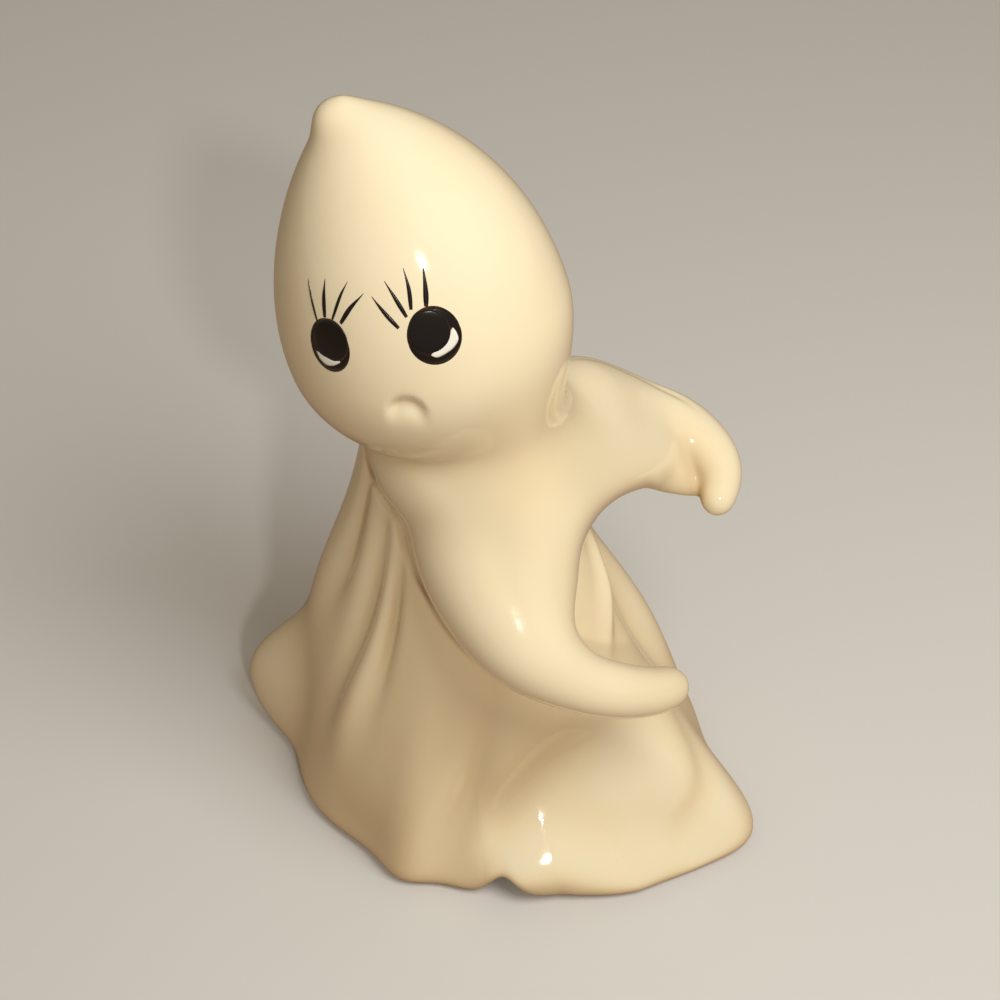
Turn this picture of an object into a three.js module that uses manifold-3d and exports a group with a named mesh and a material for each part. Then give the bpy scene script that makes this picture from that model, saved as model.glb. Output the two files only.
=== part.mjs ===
// Ghost candle holder in slip-cast, glazed ceramic. Millimetres, +Z up, the face towards -Y.
// The hollow gown stands on its hem. Two arms and a hollow hooded head are luted to it, and the arms
// curve round an open upright space on the +X side. The eyes and lashes are thin painted enamel.
// The origin lies on the standing plane, under the middle of the whole figure.

import * as THREE from 'three';
import { mergeVertices } from 'three/addons/utils/BufferGeometryUtils.js';
import Module from 'manifold-3d';

// Walls and clearances
const castWall = 4.2;
const lutedGap = 0.3;
const enamelGap = 0.32;
const enamelThickness = 0.3;

// Gown: a leaning bell, from the oval hem up to the round neck, that spreads out more along the front
const gownHeight = 98;
const hemHalfWidth = 40;
const hemHalfDepth = 32.5;
const hemCentreX = 0.12;
const hemCentreY = 1.13;
const neckRadius = 12;
const neckLeanX = -8;
const neckLeanY = -2;
const gownFlare = 1.15;
const frontFlare = 0.7;
const frontFlareAngle = 306;
const frontFlareHalfWidth = 36;
const hemArchHeight = 5.6;
const hemArchAngle = 271;
const hemArchHalfWidth = 6.5;
const hemArchEdge = 0.3;
const innerFoldShare = 0.8;
const gownSides = 90;
const gownRings = 22;
const gownRingCrowding = 1.4;

// Along the front right the gown breaks over a ledge: it falls in at the ledge, and swells to a brim below.
// The ledge drops towards its left end by ledgeDrop for each ledgeRun, squared, and the brim by brimDrop.
const ledgeFrom = 266;
const ledgeTo = 328;
const ledgeEdge = 3;
const ledgeHeight = 23.5;
const ledgeTurn = 312;
const ledgeRun = 37;
const ledgeDrop = 6.7;
const ledgeFallIn = 4.2;
const ledgeSpread = 7;
const brimSwell = 4;
const brimHeight = 7;
const brimDrop = 4;
const brimTurn = 288;
const brimRun = 20;
const brimSpread = 6;

// Folds of the gown. angle is where the fold meets the hem, counted in degrees from +X towards +Y, and
// sweep is how far it turns for each millimetre of height. reach is positive on a ridge and negative in
// a valley. It is strongest at the height peak, and spread is the height over which it dies away.
const gownFolds = [
  { angle: 336, sweep: 0, halfWidth: 16, reach: 13.5, peak: 2, spread: 23 },
  { angle: 315, sweep: 1.5, halfWidth: 7, reach: -2.2, peak: 10, spread: 8 },
  { angle: 310, sweep: 0.3, halfWidth: 18, reach: 3.2, peak: 0, spread: 7 },
  { angle: 160, sweep: 0, halfWidth: 11.5, reach: 15.2, peak: 12, spread: 20 },
  { angle: 168, sweep: 0, halfWidth: 18, reach: 4.6, peak: 48, spread: 24 },
  { angle: 216, sweep: 0, halfWidth: 18, reach: -3.6, peak: 0, spread: 14 },
  { angle: 245, sweep: 0.7, halfWidth: 9, reach: -3.2, peak: 20, spread: 16 },
  { angle: 163, sweep: 0.43, halfWidth: 6, reach: -2, peak: 72, spread: 17 },
  { angle: 185.5, sweep: 0.44, halfWidth: 6.5, reach: -2.4, peak: 58, spread: 20 },
  { angle: 207, sweep: 0.36, halfWidth: 4.5, reach: -1.9, peak: 57, spread: 15 },
  { angle: 198, sweep: 0.35, halfWidth: 7, reach: 1.6, peak: 36, spread: 16 },
  { angle: 236, sweep: 0.2, halfWidth: 10, reach: 1.8, peak: 8, spread: 30 },
  { angle: 267.6, sweep: 1.7, halfWidth: 5, reach: 1.6, peak: 53, spread: 9 },
  { angle: 7, sweep: 0, halfWidth: 7, reach: -2.4, peak: 36, spread: 14 },
  { angle: 88, sweep: 0, halfWidth: 52, reach: 5.5, peak: 97, spread: 30 },
  { angle: 18, sweep: 0.1, halfWidth: 14, reach: 4.2, peak: 32, spread: 27 },
  { angle: 42, sweep: 0.3, halfWidth: 9, reach: -2.8, peak: 24, spread: 30 },
  { angle: 66, sweep: 0.2, halfWidth: 12, reach: 3.4, peak: 0, spread: 44 },
  { angle: 92, sweep: 0, halfWidth: 9, reach: -3, peak: 28, spread: 32 },
  { angle: 116, sweep: -0.2, halfWidth: 12, reach: 3.4, peak: 0, spread: 44 },
  { angle: 137, sweep: -0.1, halfWidth: 8, reach: -2.6, peak: 30, spread: 30 },
];

// Hooded head: a round lower half and a long upper half that bows to the right and closes to a small knob.
// The knob's place is measured down the head's axis from the point, and off it.
const headRadius = 22.7;
const headDepthShare = 0.95;
const headBelow = 24.1;
const headAbove = 38.4;
const headOffsetX = -1.5;
const headOffsetY = -1;
const headOffsetZ = 16.7;
const headLeanLeft = 16.6;
const headLeanBack = 10.3;
const hoodTaper = 0.76;
const chinTaper = 0.7;
const hoodBend = 0.6;
const knobRadius = 2.7;
const knobBelowPoint = 2.5;
const knobRight = -2;
const knobForward = 0.3;
const knobSides = 20;
const headNeckHole = 9;
const headFloorHole = 4;
const headSides = 40;
const headRings = 15;

// Face, in millimetres across and up from the middle of the face. The reach of each part of an eye is a
// share of the eye's half width.
const faceTurn = -11;
const faceHeight = 8.8;
const eyeSpacing = 17.4;
const eyeSkew = 0.75;
const eyeHalfWidth = 4;
const eyeHalfHeight = 4.1;
const eyeGlanceTilt = 23;
const crescentTop = -1.15;
const crescentBow = 0.45;
const irisReach = 0.97;
const crescentReach = 0.725;
const underlineReach = 0.8;
const eyeLineWidth = 0.85;
const eyeSteps = 9;
const eyeCells = 3;
const enamelSeam = 0.12;
const mouthAcross = 0.7;
const mouthUp = -10.9;
const mouthDepth = 1.6;
const mouthHalfWidth = 2.5;

// Lashes of one eye, from the middle of the eye, across being positive towards the nose
const lashWidth = 0.62;
const lashRootShare = 0.5;
const lashTipShare = 0.25;
const lashSwell = 4;
const lashSteps = 5;
const lashes = [
  { root: [-1.2, 4.6], tip: [-3, 10] },
  { root: [0.9, 4.9], tip: [0.9, 10] },
  { root: [2.5, 4.5], tip: [5.1, 9.2] },
  { root: [4, 3.4], tip: [7.9, 7.5] },
];

// Arms: the places that the middle of each arm runs through, counted from the gown's neck as shares of
// armReach. The half width, along the plane of the embrace, and the half height, across it, are shares of
// armThickness. The far arm is a sleeve of clay under a rounder finger that runs along its top and hooks.
const embraceTilt = 25;
const armReach = 50;
const armThickness = 10;
const nearArmStations = [
  { from: [-0.016, -0.08, -0.14], halfWidth: 1.12, halfHeight: 1 },
  { from: [0.1, -0.192, -0.258], halfWidth: 1.12, halfHeight: 1.1 },
  { from: [0.158, -0.32, -0.386], halfWidth: 1.31, halfHeight: 1.09 },
  { from: [0.2, -0.436, -0.54], halfWidth: 1.06, halfHeight: 0.93 },
  { from: [0.264, -0.524, -0.65], halfWidth: 0.79, halfHeight: 0.76 },
  { from: [0.406, -0.574, -0.75], halfWidth: 0.55, halfHeight: 0.55 },
  { from: [0.548, -0.558, -0.834], halfWidth: 0.47, halfHeight: 0.47 },
  { from: [0.672, -0.502, -0.904], halfWidth: 0.405, halfHeight: 0.405 },
  { from: [0.74, -0.452, -0.94], halfWidth: 0.35, halfHeight: 0.35 },
];
const sleeveStations = [
  { from: [0.1, 0.02, -0.04], halfWidth: 1.1, halfHeight: 0.9 },
  { from: [0.28, 0.056, -0.184], halfWidth: 1.22, halfHeight: 0.9 },
  { from: [0.42, 0.136, -0.352], halfWidth: 1.53, halfHeight: 0.8 },
  { from: [0.57, 0.282, -0.46], halfWidth: 1.115, halfHeight: 0.62 },
  { from: [0.71, 0.338, -0.536], halfWidth: 0.83, halfHeight: 0.5 },
  { from: [0.846, 0.323, -0.594], halfWidth: 0.75, halfHeight: 0.38 },
  { from: [0.912, 0.304, -0.616], halfWidth: 0.57, halfHeight: 0.26 },
];
const fingerStations = [
  { from: [0.42, 0.298, -0.3], halfWidth: 0.46, halfHeight: 0.46 },
  { from: [0.57, 0.388, -0.394], halfWidth: 0.46, halfHeight: 0.46 },
  { from: [0.71, 0.404, -0.47], halfWidth: 0.44, halfHeight: 0.44 },
  { from: [0.846, 0.378, -0.534], halfWidth: 0.45, halfHeight: 0.45 },
  { from: [0.936, 0.298, -0.582], halfWidth: 0.43, halfHeight: 0.43 },
  { from: [0.96, 0.228, -0.62], halfWidth: 0.36, halfHeight: 0.36 },
  { from: [0.94, 0.144, -0.66], halfWidth: 0.3, halfHeight: 0.3 },
];
// A pad of clay on the near arm fills the chest out towards the far arm.
const chestStations = [
  { from: [0, -0.1, -0.03], halfWidth: 0.88, halfHeight: 0.88 },
  { from: [0.28, -0.01, -0.2], halfWidth: 0.9, halfHeight: 0.9 },
  { from: [0.4, 0.06, -0.28], halfWidth: 0.78, halfHeight: 0.78 },
  { from: [0.5, 0.14, -0.35], halfWidth: 0.5, halfHeight: 0.5 },
];
const armSides = 20;
const armRings = 20;
const armTipRings = 4;

// Distance between the points that measure how the head's skin slopes
const probe = 0.05;

const radians = THREE.MathUtils.degToRad;
const degrees = THREE.MathUtils.radToDeg;
const neck = new THREE.Vector3(hemCentreX + neckLeanX, hemCentreY + neckLeanY, gownHeight);

function bell(offset, halfWidth) {
  return Math.exp(-((offset / halfWidth) ** 2));
}

function angleBetween(a, b) {
  return ((((a - b) % 360) + 540) % 360) - 180;
}

// Joins rings of equal length into one closed skin. Both ends close on a pole, or the last ring joins
// the first one.
function skin(rings, poles) {
  const sides = rings[0].length;
  const positions = rings.flat().flatMap((p) => [p.x, p.y, p.z]);
  const index = [];
  const bands = poles ? rings.length - 1 : rings.length;
  for (let i = 0; i < bands; i++) {
    const next = (i + 1) % rings.length;
    for (let j = 0; j < sides; j++) {
      const k = (j + 1) % sides;
      index.push(i * sides + j, i * sides + k, next * sides + k);
      index.push(i * sides + j, next * sides + k, next * sides + j);
    }
  }
  if (poles) {
    const first = rings.length * sides;
    const last = first + 1;
    const lastRing = (rings.length - 1) * sides;
    poles.forEach((p) => positions.push(p.x, p.y, p.z));
    for (let j = 0; j < sides; j++) {
      const k = (j + 1) % sides;
      index.push(first, k, j);
      index.push(last, lastRing + j, lastRing + k);
    }
  }
  return facingOut(positions, index);
}

// Turns every face over where the skin encloses a negative volume.
function facingOut(positions, index) {
  const corner = (i) => new THREE.Vector3().fromArray(positions, 3 * i);
  let volume = 0;
  for (let i = 0; i < index.length; i += 3) {
    const edges = corner(index[i + 1]).cross(corner(index[i + 2]));
    volume += corner(index[i]).dot(edges);
  }
  if (volume < 0) {
    index.reverse();
  }
  const geometry = new THREE.BufferGeometry();
  geometry.setAttribute('position', new THREE.Float32BufferAttribute(positions, 3));
  geometry.setIndex(index);
  return geometry;
}

const wasm = await Module();
wasm.setup();

function solid(geometry) {
  const merged = mergeVertices(geometry);
  const vertProperties = new Float32Array(merged.attributes.position.array);
  const triVerts = new Uint32Array(merged.index.array);
  return new wasm.Manifold(new wasm.Mesh({ numProp: 3, vertProperties, triVerts }));
}

function geometryOf(manifold) {
  const mesh = manifold.getMesh();
  const geometry = new THREE.BufferGeometry();
  geometry.setAttribute('position', new THREE.BufferAttribute(mesh.vertProperties, 3));
  geometry.setIndex(new THREE.BufferAttribute(mesh.triVerts, 1));
  geometry.computeVertexNormals();
  return geometry;
}

// Radius of the gown about its leaning centre line, with the folds at a share of their full reach
function gownRadius(angle, height, foldShare) {
  const a = radians(angle);
  const hem = 1 / Math.hypot(Math.cos(a) / hemHalfWidth, Math.sin(a) / hemHalfDepth);
  const front = bell(angleBetween(angle, frontFlareAngle), frontFlareHalfWidth);
  const open = Math.max(0, 1 - height / gownHeight) ** (gownFlare + frontFlare * front);
  let radius = neckRadius + (hem - neckRadius) * open;
  for (const fold of gownFolds) {
    const across = bell(angleBetween(angle, fold.angle + fold.sweep * height), fold.halfWidth);
    const up = bell(height - fold.peak, fold.spread);
    radius += foldShare * fold.reach * across * up;
  }
  return radius + foldShare * ledge(angle, height);
}

function ledge(angle, height) {
  const turn = ((angle % 360) + 360) % 360;
  const starts = 1 / (1 + Math.exp((ledgeFrom - turn) / ledgeEdge));
  const ends = 1 / (1 + Math.exp((turn - ledgeTo) / ledgeEdge));
  const run = Math.max(0, (ledgeTurn - turn) / ledgeRun);
  const fallIn = ledgeFallIn * bell(height - ledgeHeight + ledgeDrop * run ** 2, ledgeSpread);
  const dropped = Math.min(1, Math.max(0, (turn - brimTurn) / brimRun));
  const brim = brimSwell * bell(height - brimHeight + brimDrop * dropped, brimSpread);
  return starts * ends * (brim - fallIn);
}

function gownPoint(angle, height, grow, foldShare) {
  const share = height / gownHeight;
  const radius = gownRadius(angle, height, foldShare) + grow;
  const a = radians(angle);
  return new THREE.Vector3(
    hemCentreX + neckLeanX * share + radius * Math.cos(a),
    hemCentreY + neckLeanY * share + radius * Math.sin(a),
    height,
  );
}

// One ring of the gown. The hem lifts off the standing plane in a small arch at the front.
function gownRing(share, grow, foldShare) {
  const ring = [];
  for (let i = 0; i < gownSides; i++) {
    const angle = (360 * i) / gownSides;
    const arch = hemArchHeight * bell(angleBetween(angle, hemArchAngle), hemArchHalfWidth);
    const lift = arch > hemArchEdge ? arch : 0;
    const height = lift + (gownHeight - lift) * share;
    ring.push(gownPoint(angle, height, grow, foldShare));
  }
  return ring;
}

// Share of the height at which a ring lies, counted down from the neck. The rings crowd towards the hem.
function ringShare(i) {
  return (1 - i / gownRings) ** gownRingCrowding;
}

function gownShell() {
  const outer = [];
  const inner = [];
  for (let i = 0; i <= gownRings; i++) {
    const share = ringShare(i);
    outer.push(gownRing(share, 0, 1));
    inner.unshift(gownRing(share, -castWall, innerFoldShare));
  }
  return solid(skin([...outer, ...inner], null));
}

function gownSolid(grow) {
  const rings = [];
  for (let i = 0; i <= gownRings; i++) {
    rings.push(gownRing(ringShare(i), grow, 1));
  }
  const top = neck.clone().setZ(gownHeight + grow);
  const bottom = new THREE.Vector3(hemCentreX, hemCentreY, 0);
  return solid(skin(rings, [top, bottom]));
}

const headCentre = neck.clone().add(new THREE.Vector3(headOffsetX, headOffsetY, headOffsetZ));
const headAxis = new THREE.Vector3(
  -Math.sin(radians(headLeanLeft)),
  Math.sin(radians(headLeanBack)),
  Math.cos(radians(headLeanLeft)) * Math.cos(radians(headLeanBack)),
).normalize();
const headRight = new THREE.Vector3(1, 0, 0).projectOnPlane(headAxis).normalize();
const headForward = new THREE.Vector3().crossVectors(headRight, headAxis);

// Greatest value of share squared times what is left of it, which the bow of the hood is measured by
const bowPeak = 4 / 27;

// Point of the head. turn is in degrees about its axis from straight ahead, positive to the right, and
// along is measured on the axis from the widest place.
function headPoint(turn, along, grow) {
  const above = headAbove + grow;
  const below = headBelow + grow;
  const share = along > 0 ? along / above : along / below;
  const profile = Math.max(0, 1 - share * share) ** (along > 0 ? hoodTaper : chinTaper);
  const radius = (headRadius + grow) * profile;
  const t = radians(turn);
  const bow = along > 0 ? hoodBend * share ** 2 * (1 - share) / bowPeak : 0;
  return headCentre.clone()
    .addScaledVector(headAxis, along)
    .addScaledVector(headRight, radius * Math.sin(t) + bow)
    .addScaledVector(headForward, radius * headDepthShare * Math.cos(t));
}

// Point of the face, millimetres across and up from its middle, lifted straight off the skin
function facePoint(across, up, lift) {
  const at = (a, b) => headPoint(faceTurn + degrees(a / headRadius), faceHeight + b, 0);
  const point = at(across, up);
  const alongAcross = at(across + probe, up).sub(point);
  const alongUp = at(across, up + probe).sub(point);
  const outward = alongUp.cross(alongAcross).normalize();
  if (outward.dot(point.clone().sub(headCentre)) < 0) {
    outward.negate();
  }
  return point.addScaledVector(outward, lift);
}

const mouthPoint = facePoint(mouthAcross, mouthUp, 0);

function pressedMouth(point) {
  const press = mouthDepth * bell(point.distanceTo(mouthPoint), mouthHalfWidth);
  return point.lerp(headCentre, press / headRadius);
}

// The head is rings from its point down to the neck hole, with the mouth pressed in from outside.
function headRingsAt(grow, lowest) {
  const rings = [];
  const end = Math.acos(-lowest);
  for (let i = 1; i <= headRings; i++) {
    const polar = (end * i) / headRings;
    const reach = polar < Math.PI / 2 ? headAbove + grow : headBelow + grow;
    const ring = [];
    for (let j = 0; j < headSides; j++) {
      const turn = (360 * j) / headSides;
      const point = headPoint(turn, reach * Math.cos(polar), grow);
      ring.push(grow < 0 ? point : pressedMouth(point));
    }
    rings.push(ring);
  }
  return rings;
}

// Share of the way down to the head's lowest point at which the skin has shrunk to a hole
function lowestOf(hole, radius) {
  return Math.sqrt(1 - (hole / radius) ** 2);
}

function headTop(grow) {
  return headCentre.clone().addScaledVector(headAxis, headAbove + grow);
}

function knob(grow) {
  const centre = headCentre.clone()
    .addScaledVector(headAxis, headAbove - knobBelowPoint)
    .addScaledVector(headRight, knobRight)
    .addScaledVector(headForward, knobForward);
  return wasm.Manifold.sphere(knobRadius + grow, knobSides).translate(centre.toArray());
}

function headShell() {
  const outer = headRingsAt(0, lowestOf(headNeckHole, headRadius));
  const inner = headRingsAt(-castWall, lowestOf(headNeckHole, headRadius - castWall)).reverse();
  return solid(skin([...outer, ...inner], [headTop(0), headTop(-castWall)])).add(knob(0));
}

function headSolid(grow) {
  const bottom = headCentre.clone().addScaledVector(headAxis, -headBelow - grow);
  return solid(skin(headRingsAt(grow, lowestOf(headFloorHole, headRadius)), [headTop(grow), bottom]));
}

// A swept arm is round-edged rings along its middle line, closed by a round tip. The rings stand square to
// the line, or all upright, square to X, where they are the sections of the sleeve.
function sweptSolid(stations, grow, allUpright) {
  const tilt = radians(embraceTilt);
  const upright = new THREE.Vector3(0, -Math.sin(tilt), Math.cos(tilt));
  const places = stations.map((s) => new THREE.Vector3(...s.from).multiplyScalar(armReach).add(neck));
  const path = new THREE.CatmullRomCurve3(places);
  const sizes = new THREE.SplineCurve(
    stations.map((s) => new THREE.Vector2(s.halfWidth, s.halfHeight).multiplyScalar(armThickness)),
  );
  const ringAt = (share, scale, push) => {
    const tangent = allUpright ? new THREE.Vector3(1, 0, 0) : path.getTangent(share);
    const side = new THREE.Vector3().crossVectors(tangent, upright).normalize();
    const rise = new THREE.Vector3().crossVectors(side, tangent).normalize();
    const size = sizes.getPoint(share);
    const edge = Math.min(size.x, size.y);
    const middle = path.getPoint(share).addScaledVector(tangent, push * (edge + grow));
    const ring = [];
    for (let j = 0; j < armSides; j++) {
      const a = (2 * Math.PI * (j + 0.5)) / armSides;
      const x = Math.sign(Math.cos(a)) * (size.x - edge) + scale * (edge + grow) * Math.cos(a);
      const y = Math.sign(Math.sin(a)) * (size.y - edge) + scale * (edge + grow) * Math.sin(a);
      ring.push(middle.clone().addScaledVector(side, x).addScaledVector(rise, y));
    }
    return ring;
  };
  const rings = [];
  for (let i = 0; i <= armRings; i++) {
    rings.push(ringAt(i / armRings, 1, 0));
  }
  for (let i = 1; i < armTipRings; i++) {
    const a = (Math.PI / 2) * (i / armTipRings);
    rings.push(ringAt(1, Math.cos(a), Math.sin(a)));
  }
  const tip = ringAt(1, 0, 1);
  const tipMiddle = tip.reduce((sum, p) => sum.add(p), new THREE.Vector3()).divideScalar(tip.length);
  return solid(skin(rings, [path.getPoint(0), tipMiddle]));
}

// A thin coat of enamel between two edges, given in face millimetres for a share from 0 to 1
function enamel(lowerEdge, upperEdge, steps, cells) {
  const bottom = [];
  const top = [];
  for (let i = 0; i <= steps; i++) {
    const low = lowerEdge(i / steps);
    const high = upperEdge(i / steps);
    for (let j = 0; j <= cells; j++) {
      const across = low[0] + ((high[0] - low[0]) * j) / cells;
      const up = low[1] + ((high[1] - low[1]) * j) / cells;
      bottom.push(facePoint(across, up, enamelGap));
      top.push(facePoint(across, up, enamelGap + enamelThickness));
    }
  }
  const index = [];
  const lift = bottom.length;
  const at = (i, j) => i * (cells + 1) + j;
  const quad = (a, b, c, d) => index.push(a, b, c, a, c, d);
  for (let i = 0; i < steps; i++) {
    for (let j = 0; j < cells; j++) {
      quad(at(i, j), at(i, j + 1), at(i + 1, j + 1), at(i + 1, j));
      quad(lift + at(i, j), lift + at(i + 1, j), lift + at(i + 1, j + 1), lift + at(i, j + 1));
    }
    quad(at(i, 0), at(i + 1, 0), lift + at(i + 1, 0), lift + at(i, 0));
    quad(at(i, cells), lift + at(i, cells), lift + at(i + 1, cells), at(i + 1, cells));
  }
  for (let j = 0; j < cells; j++) {
    quad(at(0, j), lift + at(0, j), lift + at(0, j + 1), at(0, j + 1));
    quad(at(steps, j), at(steps, j + 1), lift + at(steps, j + 1), lift + at(steps, j));
  }
  const positions = [...bottom, ...top].flatMap((p) => [p.x, p.y, p.z]);
  return solid(facingOut(positions, index));
}

const group = new THREE.Group();
const glaze = { color: 0xf2e3c2, roughness: 0.16, metalness: 0 };
const blackEnamel = { color: 0x17110e, roughness: 0.3, metalness: 0 };
const whiteEnamel = { color: 0xf6f0e2, roughness: 0.3, metalness: 0 };

function addPiece(name, manifold, finish) {
  const mesh = new THREE.Mesh(geometryOf(manifold), new THREE.MeshStandardMaterial(finish));
  mesh.name = name;
  group.add(mesh);
}

// An eye is a black iris over a white crescent, with a black line under both. side is -1 for the eye on
// the left and 1 for the eye on the right, and the eye is drawn in its own frame, turned to its glance.
function addEye(name, side) {
  const centre = [(side * eyeSpacing) / 2, -side * eyeSkew];
  const tilt = radians(eyeGlanceTilt);
  const place = (x, y) => [
    centre[0] + side * (x * Math.cos(tilt) - y * Math.sin(tilt)),
    centre[1] + x * Math.sin(tilt) + y * Math.cos(tilt),
  ];
  const rim = (x) => eyeHalfHeight * Math.sqrt(1 - (x / eyeHalfWidth) ** 2);
  const chord = (x) => crescentTop - crescentBow * (1 - (x / eyeHalfWidth) ** 2);
  const band = (reach, low, high) => {
    const across = (share) => reach * eyeHalfWidth * (2 * share - 1);
    const lower = (share) => place(across(share), low(across(share)));
    const upper = (share) => place(across(share), high(across(share)));
    return enamel(lower, upper, eyeSteps, eyeCells);
  };
  const irisFloor = (x) => Math.max(chord(x), -rim(x));
  const lineTop = (x) => Math.min(eyeLineWidth - rim(x), chord(x) - enamelSeam);
  addPiece(`${name}_iris`, band(irisReach, irisFloor, rim), blackEnamel);
  addPiece(
    `${name}_crescent`,
    band(crescentReach, (x) => lineTop(x) + enamelSeam, (x) => chord(x) - enamelSeam),
    whiteEnamel,
  );
  addPiece(`${name}_underline`, band(underlineReach, (x) => -rim(x), lineTop), blackEnamel);
  lashes.forEach((lash, i) => addLash(`${name}_lash_${i + 1}`, centre, side, lash));
}

// A lash is one brush stroke, full at the eye and drawn out to a fine tip.
function addLash(name, centre, side, lash) {
  const length = Math.hypot(lash.tip[0] - lash.root[0], lash.tip[1] - lash.root[1]);
  const sideways = [(lash.tip[1] - lash.root[1]) / length, (lash.root[0] - lash.tip[0]) / length];
  const edge = (sign) => (share) => {
    const swollen = Math.min(1, lashRootShare + lashSwell * share);
    const drawnOut = 1 - (1 - lashTipShare) * share ** 2;
    const half = (sign * lashWidth * swollen * drawnOut) / 2;
    const x = lash.root[0] + (lash.tip[0] - lash.root[0]) * share + sideways[0] * half;
    const y = lash.root[1] + (lash.tip[1] - lash.root[1]) * share + sideways[1] * half;
    return [centre[0] - side * x, centre[1] + y];
  };
  addPiece(name, enamel(edge(-1), edge(1), lashSteps, 1), blackEnamel);
}

const gownCut = gownSolid(lutedGap);
const head = headShell().subtract(gownCut);
const headCut = headSolid(lutedGap);
const nearArmAndChest = (grow) =>
  sweptSolid(nearArmStations, grow, false).add(sweptSolid(chestStations, grow, false));
const nearArm = nearArmAndChest(0).subtract(gownCut).subtract(headCut);
const nearArmCut = nearArmAndChest(lutedGap);
const farArm = sweptSolid(sleeveStations, 0, true)
  .add(sweptSolid(fingerStations, 0, false))
  .subtract(gownCut)
  .subtract(headCut)
  .subtract(nearArmCut);

addPiece('gown_shell', gownShell(), glaze);
addPiece('hood_head', head, glaze);
addPiece('near_arm', nearArm, glaze);
addPiece('far_arm', farArm, glaze);
addEye('left_eye', -1);
addEye('right_eye', 1);

export default group;
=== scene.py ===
import math

import bpy
import numpy as np
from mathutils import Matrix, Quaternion, Vector


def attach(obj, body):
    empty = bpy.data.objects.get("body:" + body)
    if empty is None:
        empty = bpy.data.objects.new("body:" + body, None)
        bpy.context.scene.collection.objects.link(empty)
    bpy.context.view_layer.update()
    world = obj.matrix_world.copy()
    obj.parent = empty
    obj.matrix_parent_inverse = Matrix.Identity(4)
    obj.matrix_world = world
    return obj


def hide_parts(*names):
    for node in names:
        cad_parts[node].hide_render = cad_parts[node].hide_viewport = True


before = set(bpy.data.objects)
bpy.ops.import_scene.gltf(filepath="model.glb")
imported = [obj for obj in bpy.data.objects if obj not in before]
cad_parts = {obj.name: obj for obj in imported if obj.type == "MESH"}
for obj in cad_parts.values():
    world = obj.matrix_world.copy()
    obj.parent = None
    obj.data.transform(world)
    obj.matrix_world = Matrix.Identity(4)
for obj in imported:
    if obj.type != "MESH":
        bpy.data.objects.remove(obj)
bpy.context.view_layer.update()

# The gown
# A bell of draped cloth in slip-cast earthenware, about 4 mm thick and open at the foot. It leans a little
# to the left as it rises. Its folds are ridges and valleys that were in the mould.
MM = 0.001
CAST_WALL = 4.2
GOWN_HEIGHT = 98.0
HEM_HALF = (40.0, 32.5)
HEM_CENTRE = (0.12, 1.13)
NECK_RADIUS = 12.0
NECK_LEAN = (-8.0, -2.0)
SHOULDER_ROUNDING = 6.0
GOWN_FLARE = 1.15
FRONT_FLARE = {"angle": 306, "half_width": 36, "more": 0.7}
INNER_FOLD_SHARE = 0.8
# The hollow runs on this far past the top of the gown, into the hollow of the head.
HOLLOW_RISES = 4.0
# The side of the bell slopes, so the clay is this much nearer than a level measure says.
SLOPE_SHARE = 0.86
FOOT_ROUNDING = 6.5
HEM_ARCH = {"angle": 271.0, "height": 5.6, "half_width": 6.5}

# Each fold: the angle where it meets the hem, its turn for each millimetre of height, its half width in
# degrees, how far it stands out or falls in, the height where it is strongest, and its spread in height.
GOWN_FOLDS = [
    (336, 0, 16, 13.5, 2, 23),
    (315, 1.5, 7, -2.2, 10, 8),
    (160, 0, 11.5, 15.2, 12, 20),
    (168, 0, 18, 4.6, 48, 24),
    (216, 0, 18, -2.2, 0, 14),
    (326, 0, 7, -1.8, 0, 9),
    (245, 0.7, 9, -3.2, 20, 16),
    (310, 0.3, 18, 3.2, 0, 7),
    (163, 0.43, 6, -2.0, 72, 17),
    (185.5, 0.44, 6.5, -2.4, 58, 20),
    (207, 0.36, 4.5, -1.9, 57, 15),
    (198, 0.35, 7, 1.6, 36, 16),
    (236, 0.2, 10, 1.8, 8, 30),
    (267.6, 1.7, 5, 1.6, 53, 9),
    (7, 0, 7, -2.4, 36, 14),
    (88, 0, 52, 5.5, 97, 30),
    (18, 0.1, 14, 4.2, 32, 27),
    (42, 0.3, 9, -2.8, 24, 30),
    (66, 0.2, 12, 3.4, 0, 44),
    (92, 0, 9, -3, 28, 32),
    (116, -0.2, 12, 3.4, 0, 44),
    (137, -0.1, 8, -2.6, 30, 30),
]
# Along the front right the cloth breaks over a ledge: it falls in at a height, and swells to a brim below.
LEDGE = {
    "from": 266, "to": 328, "end_softness": 3,
    "top_at": 312, "height": 23.5, "drop": 6.7, "drop_over": 37, "fall_in": 4.2, "fall_spread": 7.0,
    "brim": 4.0, "brim_height": 7.0, "brim_dip": 4.0, "dip_from": 288, "dip_over": 20, "brim_spread": 6.0,
}


def bell(offset, half_width):
    """1 in the middle, and fading to 0 on both sides."""
    return np.exp(-(offset / half_width) ** 2)


def turn_between(a, b):
    return (a - b + 180.0) % 360.0 - 180.0


def ramp(value, start, end):
    """Rises smoothly from 0 at start to 1 at end."""
    share = np.clip((value - start) / (end - start), 0, 1)
    return share * share * (3 - 2 * share)


def soft_union(a, b, reach):
    """Two forms joined, with the corner between them filled softly over a reach."""
    near = np.clip(1 - np.abs(a - b) / reach, 0, 1)
    return np.minimum(a, b) - near ** 3 * reach / 6


def soft_cut(a, b, reach):
    """Form a with form b cut out of it, and the edge rounded over a reach."""
    return -soft_union(-a, b, reach)


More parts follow.
